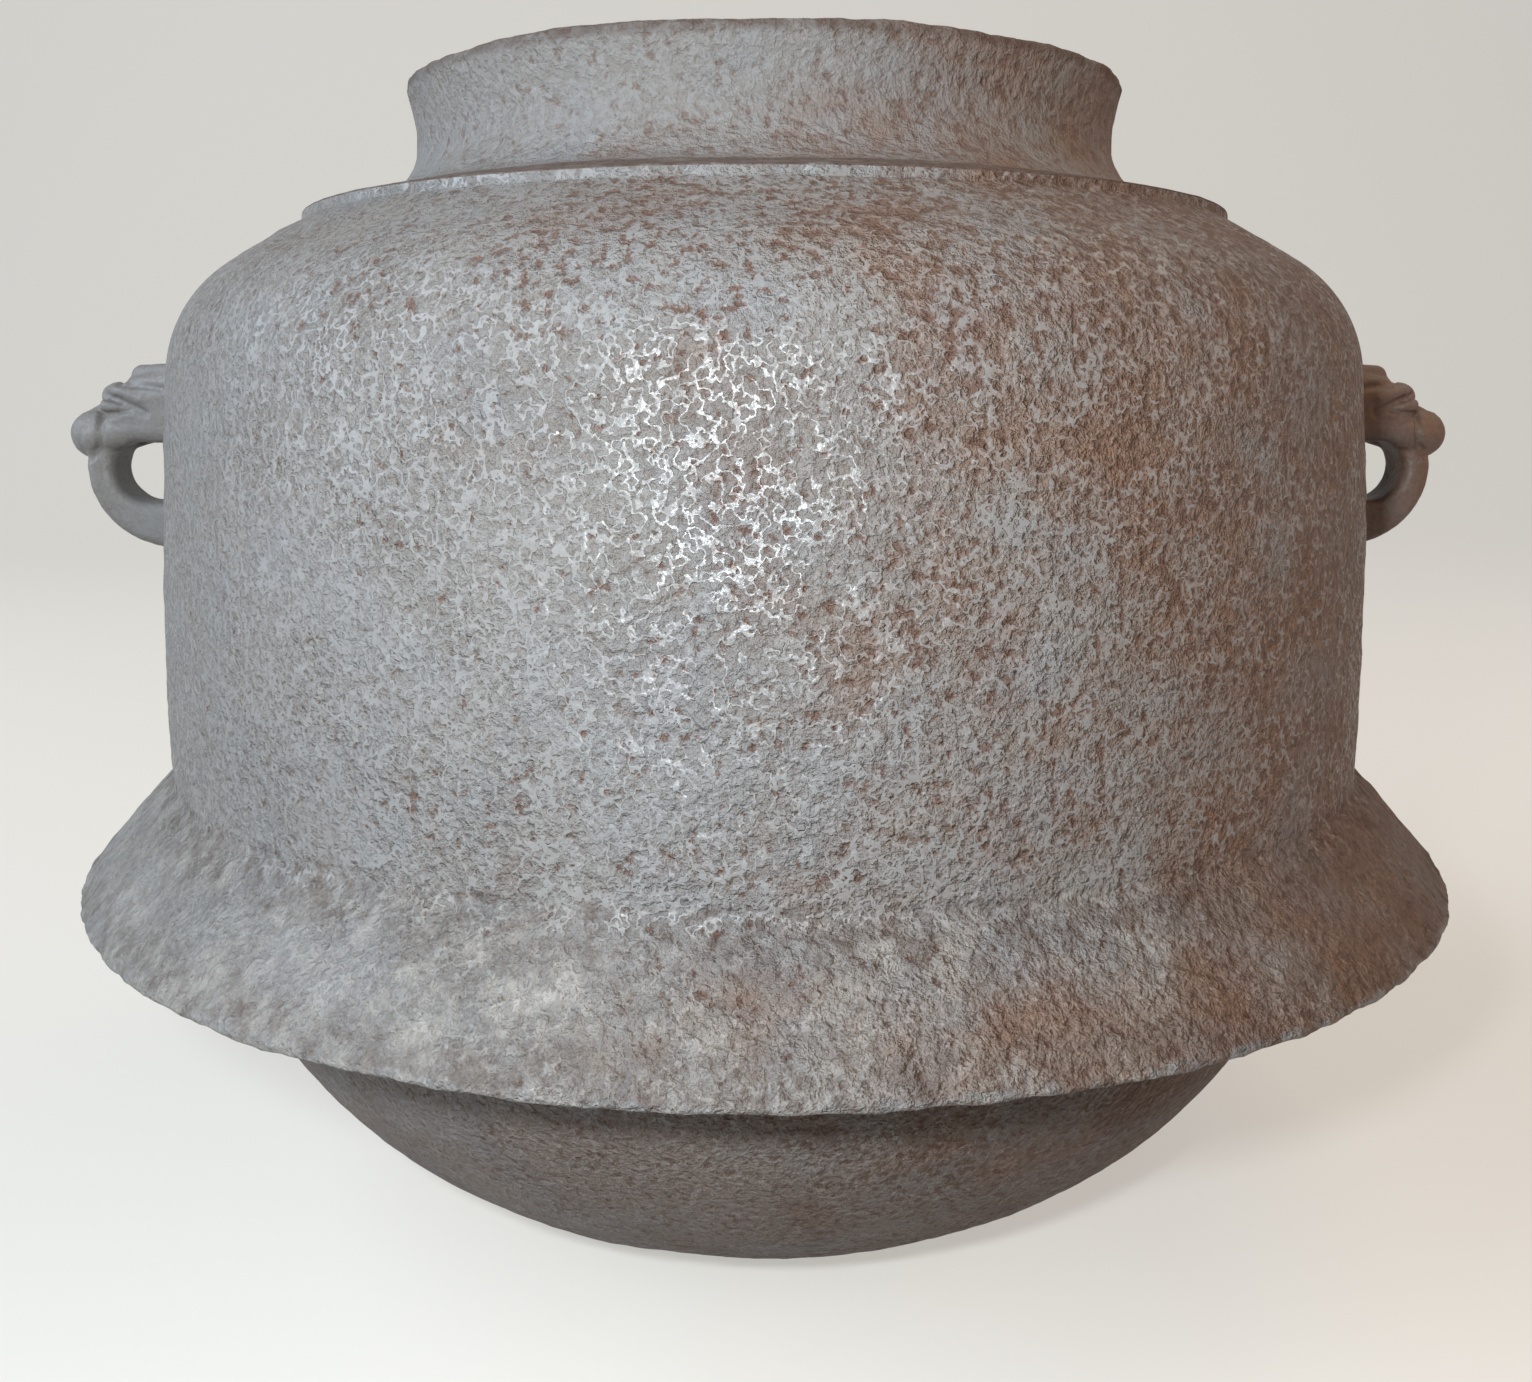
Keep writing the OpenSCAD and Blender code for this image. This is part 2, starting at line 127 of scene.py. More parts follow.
class Graph:
    def __init__(self, name):
        self.material = bpy.data.materials.new(name)
        self.material.use_nodes = True
        self.tree = self.material.node_tree
        self.shader = self.tree.nodes["Principled BSDF"]
        self.place = self.tree.nodes.new("ShaderNodeTexCoord").outputs["Object"]

    def add(self, kind, **settings):
        node = self.tree.nodes.new(kind)
        for key, value in settings.items():
            setattr(node, key, value)
        return node

    def join(self, source, target):
        if isinstance(source, (int, float, tuple)):
            target.default_value = source
        else:
            self.tree.links.new(source, target)

    def noise(self, scale, detail=4.0, rough=0.55, at=None):
        node = self.add("ShaderNodeTexNoise")
        self.join(at or self.place, node.inputs["Vector"])
        node.inputs["Scale"].default_value = scale
        node.inputs["Detail"].default_value = detail
        node.inputs["Roughness"].default_value = rough
        return node.outputs["Fac"]

    def wobble(self, scale, amount):
        node = self.add("ShaderNodeTexNoise")
        self.join(self.place, node.inputs["Vector"])
        node.inputs["Scale"].default_value = scale
        node.inputs["Detail"].default_value = 3.0
        middle = self.add("ShaderNodeVectorMath", operation="SUBTRACT")
        self.join(node.outputs["Color"], middle.inputs[0])
        middle.inputs[1].default_value = (0.5, 0.5, 0.5)
        shift = self.add("ShaderNodeVectorMath", operation="MULTIPLY_ADD")
        self.join(middle.outputs["Vector"], shift.inputs[0])
        shift.inputs[1].default_value = (amount, amount, amount)
        self.join(self.place, shift.inputs[2])
        return shift.outputs["Vector"]

    def axis(self, letter):
        node = self.add("ShaderNodeSeparateXYZ")
        self.join(self.place, node.inputs[0])
        return node.outputs[letter]

    def radius(self):
        across = self.math("MULTIPLY", self.axis("X"), self.axis("X"))
        return self.math("SQRT", self.math("MULTIPLY_ADD", self.axis("Y"), self.axis("Y"), across))

    def math(self, operation, a, b=0.0, c=0.0):
        node = self.add("ShaderNodeMath", operation=operation)
        for socket, value in zip(node.inputs, (a, b, c)):
            self.join(value, socket)
        return node.outputs["Value"]

    def span(self, value, low, high, toLow=0.0, toHigh=1.0):
        node = self.add("ShaderNodeMapRange", interpolation_type="SMOOTHSTEP")
        self.join(value, node.inputs["Value"])
        for key, number in (("From Min", low), ("From Max", high), ("To Min", toLow), ("To Max", toHigh)):
            node.inputs[key].default_value = number
        return node.outputs["Result"]

    def ramp(self, value, stops):
        node = self.add("ShaderNodeValToRGB")
        bar = node.color_ramp.elements
        while len(bar) < len(stops):
            bar.new(0.5)
        for element, (where, color) in zip(bar, stops):
            element.position = where
            element.color = (*color, 1.0)
        self.join(value, node.inputs["Fac"])
        return node.outputs["Color"]

    def mix(self, share, a, b):
        node = self.add("ShaderNodeMix", data_type="RGBA", blend_type="MIX")
        self.join(share, node.inputs["Factor"])
        sockets = [socket for socket in node.inputs if socket.type == "RGBA"]
        for socket, value in zip(sockets, (a, b)):
            self.join((*value, 1.0) if isinstance(value, tuple) else value, socket)
        return [socket for socket in node.outputs if socket.type == "RGBA"][0]

    def bump(self, height, distance):
        node = self.add("ShaderNodeBump")
        node.inputs["Distance"].default_value = distance * mm
        node.inputs["Strength"].default_value = 1.0
        self.join(height, node.inputs["Height"])
        self.join(node.outputs["Normal"], self.shader.inputs["Normal"])


ironFinish = {
    "pit": (0.135, 0.117, 0.104),
    "flat": (0.166, 0.156, 0.149),
    "crest": (0.180, 0.174, 0.169),
    "deep": (0.085, 0.044, 0.029),
    "rust": (0.134, 0.070, 0.041),
    "slate": (0.160, 0.165, 0.175),
    "dust": (0.240, 0.224, 0.204),
}


def shaded(color, share):
    return tuple(part * share for part in color)


# Sizes are shares of the grain, pairs are noise levels between which a thing rises or falls
ironShape = {
    "bendSize": 1.6, "bend": 0.5, "veinSize": 1.8, "crustSize": 1.5, "swellSize": 5.0, "gritSize": 0.3,
    "skinRise": (0.41, 0.54), "veinRise": (0.45, 0.48), "veinFall": (0.525, 0.56), "veinPlaces": (0.36, 0.58),
    "pitFall": (0.37, 0.46), "pitBase": 0.28, "pitStainAndShade": -0.50,
    "stainScale": 55.0, "stainShare": 0.45, "sideShadeDrift": 1.6, "stainBase": 0.28, "rustRise": (0.46, 0.67),
    "castHeight": 0.8, "skinHeight": 0.42, "gritHeight": 0.14, "swellHeight": 1.6,
    "ridgeHeight": 0.95, "ridgeHold": 0.88, "crumbleRise": (0.25, 0.6), "crumbleLeast": 0.25,
    "ridgeLevel": 0.45, "skinLevel": 0.18, "gritLevel": 0.50, "dullRough": 0.58,
    "quiet": 0.6, "quietRidges": 0.35, "quietCrumble": 1.5, "quietWave": 0.012, "dustShare": 0.8,
    "slateRise": (0.45, 0.7), "slateShare": 0.35,
}


# Browned cast iron: a broken, bumpy skin, smooth connected ridges that catch the light, and deep brown pits.
# Rust grows with the stain from the share brown to the share rust, and sinks shifts the level of the pits.
# The stain also rises steadily towards +X, so that side is browner, darker and more pitted: partly rust,
# partly a painted shaded side.
# Between the two heights of calm, in millimetres, a quieter and dusty skin changes to its full relief.
# Where a brightening mask is given, the skin is worn bright, with a painted highlight on the ring's riser;
# where a darkening mask is given, it is dark and dull, with stains and painted shade in creases.
def castIron(name, grain, relief, ridgeShare=1.0, pitted=0.35, rust=0.3, shade=1.0, gloss=0.37, shine=0.3,
             metal=0.12, crumble=8.0, brown=0.0, calm=None, sinks=None, brightened=None, shadeAndStains=None):
    g = Graph(name)
    s = ironShape
    paint = {key: shaded(color, shade) for key, color in ironFinish.items()}
    bent = g.wobble(1000 / (s["bendSize"] * grain), s["bend"] * grain * mm)
    cast = g.noise(1000 / grain, 3.0, 0.56, bent)
    skin = g.span(cast, *s["skinRise"])
    vein = g.noise(1000 / (s["veinSize"] * grain), 2.0, 0.5, bent)
    ridge = g.math("MINIMUM", g.span(vein, *s["veinRise"]), g.span(vein, *s["veinFall"], 1.0, 0.0))
    swell = g.noise(1000 / (s["swellSize"] * grain), 3.0)
    where = g.span(swell, *s["veinPlaces"], 0.3, 1.0)
    ridges = g.math("MULTIPLY", g.math("MULTIPLY", ridge, where), ridgeShare)
    # The stain rises towards +X: that side is painted browner, darker and more pitted, a painted side shade
    # over the real rust stains
    sideShade = g.math("MULTIPLY_ADD", g.axis("X"), s["sideShadeDrift"], s["stainBase"])
    stainAndSideShade = g.math("MULTIPLY_ADD", g.noise(s["stainScale"], 5.0), s["stainShare"], sideShade)
    crust = g.noise(1000 / (s["crustSize"] * grain), 4.0, 0.60, bent)
    sunk = g.math("MULTIPLY_ADD", stainAndSideShade, s["pitStainAndShade"], g.math("ADD", crust, s["pitBase"]))
    if sinks:
        sunk = g.math("SUBTRACT", sunk, sinks(g))
    deep = g.span(sunk, *s["pitFall"], 1.0, 0.0)
    grit = g.noise(1000 / (s["gritSize"] * grain), 2.0, 0.6)

    height = g.math("MULTIPLY_ADD", cast, s["castHeight"], g.math("MULTIPLY", skin, s["skinHeight"]))
    broken = g.span(stainAndSideShade, *s["crumbleRise"], s["crumbleLeast"] * crumble, crumble)
    if calm:
        low = g.math("ADD", g.axis("Z"), -0.5 * s["quietWave"])
        wavy = g.math("MULTIPLY_ADD", g.noise(90.0, 3.0), s["quietWave"], low)
        full = g.span(wavy, calm[0] * mm, calm[1] * mm, s["quiet"], 1.0)
        height = g.math("MULTIPLY", height, full)
        ridges = g.math("MULTIPLY", ridges, g.span(full, s["quiet"], 1.0, s["quietRidges"], 1.0))
        broken = g.math("MULTIPLY", broken, g.span(full, s["quiet"], 1.0, s["quietCrumble"], 1.0))
    height = g.math("MULTIPLY_ADD", g.math("ADD", crust, -0.5), broken, height)
    height = g.math("MULTIPLY_ADD", grit, s["gritHeight"], height)
    # Ridges stand over the broken skin with smooth tops
    lift = g.math("SUBTRACT", s["ridgeHeight"], height)
    height = g.math("MULTIPLY_ADD", lift, g.span(ridges, 0.0, 0.6, 0.0, s["ridgeHold"]), height)
    height = g.math("MULTIPLY_ADD", swell, s["swellHeight"], height)
    g.bump(height, relief)

    level = g.math("MULTIPLY_ADD", ridges, s["ridgeLevel"], g.math("MULTIPLY", skin, s["skinLevel"]))
    level = g.math("MULTIPLY_ADD", grit, s["gritLevel"], level)
    if brightened:
        # A brightening mask: worn edges, and a painted highlight on the ring's riser
        wearAndHighlight = brightened(g)
        level = g.math("MAXIMUM", level, wearAndHighlight)
        deep = g.math("MULTIPLY", deep, g.span(wearAndHighlight, 0.0, 0.5, 1.0, 0.0))
    tone = g.ramp(level, [(0.15, paint["pit"]), (0.50, paint["flat"]), (0.95, paint["crest"])])
    if calm:
        patchy = g.span(g.noise(170.0, 5.0, 0.70), 0.42, 0.62, 0.0, s["dustShare"])
        dusty = g.math("MULTIPLY", g.span(full, s["quiet"], 1.0, 1.0, 0.0), patchy)
        tone = g.mix(dusty, tone, paint["dust"])
    rustAndShadeGrowth = g.span(stainAndSideShade, *s["rustRise"], brown, rust)
    rustAndSideShade = g.math("MULTIPLY", rustAndShadeGrowth, g.span(level, 0.45, 0.85, 1.0, 0.1))
    tone = g.mix(rustAndSideShade, tone, paint["rust"])
    tone = g.mix(g.span(g.noise(60.0, 3.0), *s["slateRise"], 0.0, s["slateShare"]), tone, paint["slate"])
    tone = g.mix(g.math("MULTIPLY", deep, pitted), tone, paint["deep"])
    rough = g.span(level, 0.2, 0.9, s["dullRough"], gloss)
    bare = g.math("MULTIPLY", g.span(level, 0.45, 0.85, 0.0, metal), g.span(deep, 0.0, 1.0, 1.0, 0.2))
    if shadeAndStains:
        # A darkening mask: stains, and painted shade in the creases
        shadeAndStain = shadeAndStains(g)
        tone = g.mix(shadeAndStain, tone, shaded(ironFinish["deep"], 0.6))
        rough = g.math("MULTIPLY_ADD", shadeAndStain, 0.3, rough)
        bare = g.math("MULTIPLY", bare, g.span(shadeAndStain, 0.0, 0.4, 1.0, 0.0))
    g.join(tone, g.shader.inputs["Base Color"])
    g.join(rough, g.shader.inputs["Roughness"])
    g.join(bare, g.shader.inputs["Metallic"])
    g.shader.inputs["Specular IOR Level"].default_value = shine
    return g.material


def darkLacquer(name):
    g = Graph(name)
    speck = g.noise(900.0, 4.0)
    g.join(g.ramp(speck, [(0.3, (0.012, 0.007, 0.006)), (0.7, (0.045, 0.026, 0.020))]),
           g.shader.inputs["Base Color"])
    g.join(g.span(speck, 0.3, 0.7, 0.35, 0.6), g.shader.inputs["Roughness"])
    g.bump(speck, 0.15)
    return g.material


def brownBronze(name, brightened):
    g = Graph(name)
    cloud = g.noise(60.0, 5.0)
    grain = g.noise(1500.0, 3.0)
    tone = g.ramp(cloud, [(0.3, (0.060, 0.035, 0.020)), (0.55, (0.085, 0.050, 0.026)),
                          (0.8, (0.115, 0.070, 0.035))])
    tone = g.mix(g.span(grain, 0.55, 0.8, 0.0, brightened), tone, (0.32, 0.20, 0.09))
    g.join(tone, g.shader.inputs["Base Color"])
    g.shader.inputs["Metallic"].default_value = 0.75
    g.join(g.span(cloud, 0.3, 0.7, 0.34, 0.52), g.shader.inputs["Roughness"])
    g.bump(g.math("MULTIPLY_ADD", grain, 0.4, cloud), 0.12)
    return g.material


lugIron = castIron("lugIron", grain=0.7, relief=0.05, ridgeShare=0.1, rust=0.9, shade=0.85, gloss=0.36,
                   shine=0.4, crumble=3.0)
plateIron = castIron("plateIron", grain=1.6, relief=0.15, ridgeShare=0.2, shade=0.7, gloss=0.5, shine=0.3)
lacquer = darkLacquer("lacquer")
lidBronze = brownBronze("lidBronze", 0.25)
knobBronze = brownBronze("knobBronze", 0.55)
print("materials made")


# Upper body: the same outline as the casting, drawn closer, then spun and given its lumps

body = {
    "brimRadius": 125.0, "seatHeight": 62.0, "brimThickness": 3.6, "brimEdge": 1.6, "brimSlope": 47.0,
    "brimHollow": 6.0, "drumRadius": 108.4, "drumHeight": 66.7, "drumLean": 5.7, "wall": 4.0,
    "shoulderRadius": 23.5, "shoulderSlope": 30.8, "ringRadius": 82.0, "ringRiser": 1.6, "ringSlope": 12.0,
    "waistRadius": 61.9, "neckHollow": 10.0, "lipFlare": 26.0, "lipRise": 10.1, "lipRound": 1.2,
    "neckWall": 5.5, "ledgeWidth": 3.0, "ledgeDepth": 7.0,
    "spacing": 1.3, "insideSpacing": 7.0, "steps": 640, "inset": 0.3, "edgeRound": 0.6, "ringRound": 0.3,
    "creaseRound": 2.2,
    # Name, size, strength, depth, vertex group, level that stays in place
    "lumps": [("broadLumps", 26.0, 0.8, 2, "skin", 0.5), ("skinLumps", 4.2, 0.6, 3, "skin", 0.5),
              ("brimLumps", 9.0, 1.3, 3, "brim", 0.5), ("edgeChips", 6.0, 0.9, 3, "edge", 0.75)],
}


def bodyPlaces(s):
    turn = 90 - s["brimSlope"]
    slope = math.tan(math.radians(s["brimSlope"]))
    topRadius = s["drumRadius"] + s["brimHollow"] * (1 - math.cos(math.radians(turn)))
    topHeight = s["seatHeight"] + s["brimEdge"] + (s["brimRadius"] - topRadius) * slope
    spring = topHeight + s["brimHollow"] * math.sin(math.radians(turn))
    creaseTop = spring - (s["brimHollow"] - s["creaseRound"]) * math.tan(math.radians(turn / 2))
    lean = math.radians(s["drumLean"])
    curve = s["drumHeight"] / math.sin(lean)
    drumMid = (s["drumRadius"] - curve, spring)
    reach = curve - s["shoulderRadius"]
    shoulderMid = (drumMid[0] + reach * math.cos(lean), drumMid[1] + reach * math.sin(lean))
    fall = math.radians(s["shoulderSlope"])
    endRadius = shoulderMid[0] + s["shoulderRadius"] * math.sin(fall)
    endHeight = shoulderMid[1] + s["shoulderRadius"] * math.cos(fall)
    ringFoot = endHeight + (endRadius - s["ringRadius"]) * math.tan(fall)
    ringTop = ringFoot + s["ringRiser"]
    tilt = math.radians(s["ringSlope"])
    waist = (ringTop + (s["ringRadius"] - s["waistRadius"] - s["neckHollow"]) * math.tan(tilt)
             + s["neckHollow"] / math.cos(tilt))
    seatRadius = s["brimRadius"] - (s["brimThickness"] / math.cos(math.radians(s["brimSlope"]))
                                    - s["brimEdge"]) / slope
    innerRadius = s["drumRadius"] - s["wall"]
    root = s["seatHeight"] + (seatRadius - innerRadius) * slope
    return {"turn": turn, "spring": spring, "creaseTop": creaseTop, "curve": curve, "drumMid": drumMid,
            "shoulderMid": shoulderMid, "ringFoot": ringFoot, "ringTop": ringTop, "waist": waist,
            "lip": waist + s["lipRise"], "seatRadius": seatRadius, "innerRadius": innerRadius, "root": root}


def joinPath(points, spacing):
    path = [points[0]]
    for point in points[1:]:
        if math.dist(path[-1], point) > 1.6 * spacing:
            path += linePoints(path[-1], point, spacing)
        if math.dist(path[-1], point) > 0.05:
            path.append(point)
    return path


def bodyOutline(s):
    p = bodyPlaces(s)
    near = s["spacing"]
    far = s["insideSpacing"]
    edge = s["edgeRound"]
    brim = s["brimRadius"] - s["inset"]
    outer = [(p["seatRadius"], s["seatHeight"] + s["inset"])]
    outer += arcPoints((brim - edge, s["seatHeight"] + s["inset"] + edge), edge, -90, 0, 0.5)
    outer += [(brim, s["seatHeight"] + s["brimEdge"])]
    crease = s["creaseRound"]
    outer += arcPoints((s["drumRadius"] + crease, p["creaseTop"]), crease, 180 + p["turn"], 180, 0.6)
    outer += arcPoints(p["drumMid"], p["curve"], 0, s["drumLean"], near)
    outer += arcPoints(p["shoulderMid"], s["shoulderRadius"], s["drumLean"], 90 - s["shoulderSlope"], near)
    ring = s["ringRadius"]
    soft = s["ringRound"]
    outer += [(ring + soft, p["ringFoot"] - 0.2), (ring, p["ringFoot"] + 0.1)]
    outer += arcPoints((ring - soft, p["ringTop"] - soft), soft, 0, 90 - s["ringSlope"], 0.2)
    hollow = (s["waistRadius"] + s["neckHollow"], p["waist"])
    flare = (s["waistRadius"] + s["lipFlare"], p["waist"])
    outer += arcPoints(hollow, s["neckHollow"], 270 - s["ringSlope"], 180, near)
    lipMid = p["lip"] - s["lipRound"]
    rise = math.asin((lipMid - p["waist"]) / (s["lipFlare"] + s["lipRound"]))
    outer += arcPoints(flare, s["lipFlare"], 180, 180 - math.degrees(rise), near)
    lipRadius = flare[0] - (s["lipFlare"] + s["lipRound"]) * math.cos(rise)
    outer += arcPoints((lipRadius, lipMid), s["lipRound"], -math.degrees(rise), 90, 0.5)
    mouth = s["waistRadius"] - s["neckWall"] + s["ledgeWidth"]
    ledge = p["lip"] - s["ledgeDepth"]
    outer += [(mouth + 0.5, p["lip"]), (mouth, p["lip"] - 0.5), (mouth, ledge)]
    throat = s["lipFlare"] + s["neckWall"]
    dip = math.degrees(math.asin((ledge - p["waist"]) / throat))
    inner = arcPoints(flare, throat, 180 - dip, 180, 3)
    inner += arcPoints(hollow, s["neckHollow"] + s["neckWall"], 180, 240, 3)
    inner += arcPoints(p["shoulderMid"], s["shoulderRadius"] - s["wall"], 90 - s["shoulderSlope"],
                       s["drumLean"], 5)
    inner += arcPoints(p["drumMid"], p["curve"] - s["wall"], s["drumLean"], 0, far)
    inner += [(p["innerRadius"], p["root"])]
    outline = joinPath(outer, near) + joinPath(inner, far)
    outline += linePoints(outline[-1], outline[0], 2.5)
    return outline + [outline[0]]


# The ring's riser and the brim's edge are worn bright; the riser is bright in full on the left and only a
# tenth towards +X, a painted highlight over the wear
def wornEdgesAndRiserHighlight(g):
    p = bodyPlaces(body)
    # Full on the left of the riser, a tenth towards +X: a painted highlight where the light falls, over the
    # wear
    litRiser = g.math("MINIMUM", g.span(g.axis("Z"), (p["ringFoot"] - 0.3) * mm, p["ringFoot"] * mm),
                   g.span(g.axis("X"), 0.005, 0.035, 1.0, 0.1))
    brim = g.span(g.radius(), (body["brimRadius"] - 1.6) * mm, (body["brimRadius"] - 0.4) * mm)
    patchy = g.span(g.noise(300.0, 4.0), 0.40, 0.62, 0.35, 1.0)
    return g.math("MULTIPLY", g.math("MAXIMUM", litRiser, brim), patchy)


# The shoulder is more pitted than the drum, the brim less
def skinPits(g):
    p = bodyPlaces(body)
    shoulder = g.span(g.axis("Z"), (p["ringFoot"] - 30.0) * mm, (p["ringFoot"] - 8.0) * mm, 0.0, 0.055)
    brim = g.span(g.axis("Z"), (p["creaseTop"] - 2.0) * mm, (p["creaseTop"] + 6.0) * mm, -0.035, 0.0)
    return g.math("ADD", shoulder, brim)


# Neck and bowl are pitted a little more than the drum, all over
def evenPits(g):
    return 0.035


# Darker and duller in and just below the crease where the drum meets the brim, a painted shade, and brown
# stains near the brim's edge, both in patches
def creaseShadeAndBrimStains(g):
    p = bodyPlaces(body)
    crease = g.math("MINIMUM", g.span(g.axis("Z"), (p["creaseTop"] - 9.0) * mm, (p["creaseTop"] - 3.0) * mm),
                    g.span(g.axis("Z"), p["creaseTop"] * mm, (p["creaseTop"] + 1.5) * mm, 1.0, 0.0))
    edge = g.span(g.radius(), (body["brimRadius"] - 6.0) * mm, (body["brimRadius"] - 2.5) * mm, 0.0, 0.8)
    spots = g.span(g.noise(260.0, 5.0, 0.68), 0.45, 0.63, 0.05, 0.55)
    return g.math("MULTIPLY", g.math("MAXIMUM", crease, edge), spots)


# Darker at the neck's root, in the crease above the ring, a painted shade, and darker towards the lip
def neckRootShadeAndDarkLip(g):
    p = bodyPlaces(body)
    # In the crease between the ring and the neck: a painted shade
    root = g.span(g.axis("Z"), (p["ringTop"] + 1.9) * mm, (p["ringTop"] + 2.7) * mm, 1.0, 0.0)
    lip = g.span(g.axis("Z"), (p["lip"] - 2.4) * mm, (p["lip"] - 0.9) * mm, 0.0, 0.8)
    return g.math("MULTIPLY", g.math("MAXIMUM", root, lip), g.span(g.noise(260.0, 3.0), 0.3, 0.55, 0.4, 0.8))


skinIron = castIron("skinIron", grain=1.1, relief=0.35, pitted=0.85, rust=0.95, calm=(76.0, 88.0),
                    sinks=skinPits, brightened=wornEdgesAndRiserHighlight, shadeAndStains=creaseShadeAndBrimStains)
neckIron = castIron("neckIron", grain=1.2, relief=0.20, ridgeShare=0.15, pitted=0.6, rust=0.75, shade=1.07,
                    gloss=0.42, metal=0.3, sinks=evenPits, shadeAndStains=neckRootShadeAndDarkLip)
# The bowl's least rust share of 0.35 warms it all over, a painted warm light bounced from the floor below
bowlIron = castIron("bowlIron", grain=0.9, relief=0.40, ridgeShare=0.5, pitted=0.8, rust=0.9, shade=1.0,
                    gloss=0.45, shine=0.15, brown=0.35, sinks=evenPits)


def makeBody():
    s = body
    p = bodyPlaces(s)
    piece = spinOutline("kettleBody", bodyOutline(s), s["steps"])
    outside = p["innerRadius"] + 1.5

    def onSkin(radius, height):
        if height < p["spring"]:
            return 1.0
        if height < p["ringTop"] - 8:
            return fadeIn(radius, outside - 1, outside)
        if radius < s["waistRadius"] - 1.5:
            return 0.0
        return 0.25 + 0.75 * fadeIn(abs(height - p["ringTop"] + 0.8), 1.2, 4.0)

    def onBrim(radius, height):
        near = fadeIn(radius, s["drumRadius"] + 1, s["drumRadius"] + 6)
        return near * (1 - fadeIn(radius, s["brimRadius"] - 4, s["brimRadius"] - 1))

    def onEdge(radius, height):
        return fadeIn(radius, s["brimRadius"] - 3.5, s["brimRadius"] - 0.8)

    weigh(piece, "skin", onSkin)
    weigh(piece, "brim", onBrim)
    weigh(piece, "edge", onEdge)
    for row in s["lumps"]:
        lumps(piece, *row)
    applyModifiers(piece)
    piece.data.materials.append(skinIron)
    piece.data.materials.append(neckIron)
    for face in piece.data.polygons:
        spot = face.center / mm
        if spot.z > p["ringTop"] - 0.4:
            face.material_index = 1
    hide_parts("upper_body")
    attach(piece, "kettle")
    print("kettle body made,", len(piece.data.polygons), "faces")


makeBody()


# Bottom pan

pan = {"footRadius": 46.0, "bowlCurve": 80.0, "wall": 3.6, "floor": 4.0, "seam": 0.8, "lap": 16.0,
       "spacing": 1.6, "steps": 512,
       "lumps": [("bowlSwell", 22.0, 0.6, 2, "bowl", 0.5), ("bowlLumps", 3.6, 0.35, 3, "bowl", 0.5)]}


def makePan():
    s = pan
    p = bodyPlaces(body)
    collar = p["innerRadius"] - s["seam"]
    top = p["root"] + s["lap"]
    start = Vector((collar, body["seatHeight"]))
    end = Vector((s["footRadius"], 0.0))
    chord = end - start
    rise = math.sqrt(s["bowlCurve"] ** 2 - (chord.length / 2) ** 2)
    mid = (start + end) / 2 + rise * Vector((chord.y, -chord.x)) / chord.length
    inside = s["bowlCurve"] - s["wall"]
    footTurn = -math.degrees(math.asin(mid.y / s["bowlCurve"]))
    topTurn = -math.degrees(math.acos((collar - mid.x) / s["bowlCurve"]))
    inTop = -math.degrees(math.acos((collar - s["wall"] - mid.x) / inside))
    inFoot = -math.degrees(math.asin((mid.y - s["floor"]) / inside))
    outline = joinPath([(0.0, 0.0), (s["footRadius"] - 1.0, 0.0)], 9)
    outline += joinPath(arcPoints(mid, s["bowlCurve"], footTurn, topTurn, s["spacing"]), s["spacing"])
    outline += joinPath([(collar, top), (collar - s["wall"], top)]
                        + arcPoints(mid, inside, inTop, inFoot, 6) + [(0.0, s["floor"])], 6)
    piece = spinOutline("kettleBowl", outline, s["steps"])

    def onBowl(radius, height):
        return fadeIn(height, 0.4, 4.0) if height < body["seatHeight"] else 0.0

    weigh(piece, "bowl", onBowl)
    for row in s["lumps"]:
        lumps(piece, *row)
    applyModifiers(piece)
    piece.data.materials.append(bowlIron)
    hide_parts("bottom_pan")
    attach(piece, "kettle")
    print("bowl made,", len(piece.data.polygons), "faces")


makePan()


# Lugs: copies of the cast pieces, softened, with grooves and folds cut into the mask, and a cast skin

lugs = {
    "voxel": 0.36, "soften": 5, "grooveWidth": 1.1, "grooveDepth": 0.75, "foldWidth": 1.4, "foldHeight": 0.45,
    "lumpSize": 3.0, "lumpStrength": 0.25, "lumpMiddle": 0.7,
    # Points out from the kettle's axis and up, as the mask shows from the side
    "grooves": [
        [(121.2, 146.9), (118.1, 146.0), (115.6, 145.0), (112.5, 143.6)],
        [(122.4, 143.5), (119.9, 143.1), (117.8, 143.6), (115.2, 144.3)],
        [(117.6, 149.0), (114.8, 148.8), (112.2, 148.5), (108.8, 148.0)],
        [(122.4, 143.3), (121.8, 140.1), (122.6, 137.2), (124.6, 135.4)],
    ],
    "folds": [
        [(119.8, 147.9), (116.5, 147.3), (113.0, 146.0)],
        [(120.4, 145.1), (118.2, 144.8)],
    ],
}


def nearPaths(spot, paths, width):
    here = Vector((abs(spot.x), spot.z))
    gaps = []
    for path in paths:
        for start, end in zip(path, path[1:]):
            along = Vector(end) - Vector(start)
            share = min(1.0, max(0.0, (here - Vector(start)).dot(along) / along.length_squared))
            gaps.append((here - Vector(start) - share * along).length)
    return 1 - fadeIn(min(gaps), 0.0, width)


def carve(piece, name, paths, width, depth):
    group = piece.vertex_groups.new(name=name)
    for vertex in piece.data.vertices:
        group.add([vertex.index], nearPaths(vertex.co / mm, paths, width), "REPLACE")
    modifier = piece.modifiers.new(name, "DISPLACE")
    modifier.strength = depth * mm
    modifier.mid_level = 0.0
    modifier.vertex_group = name


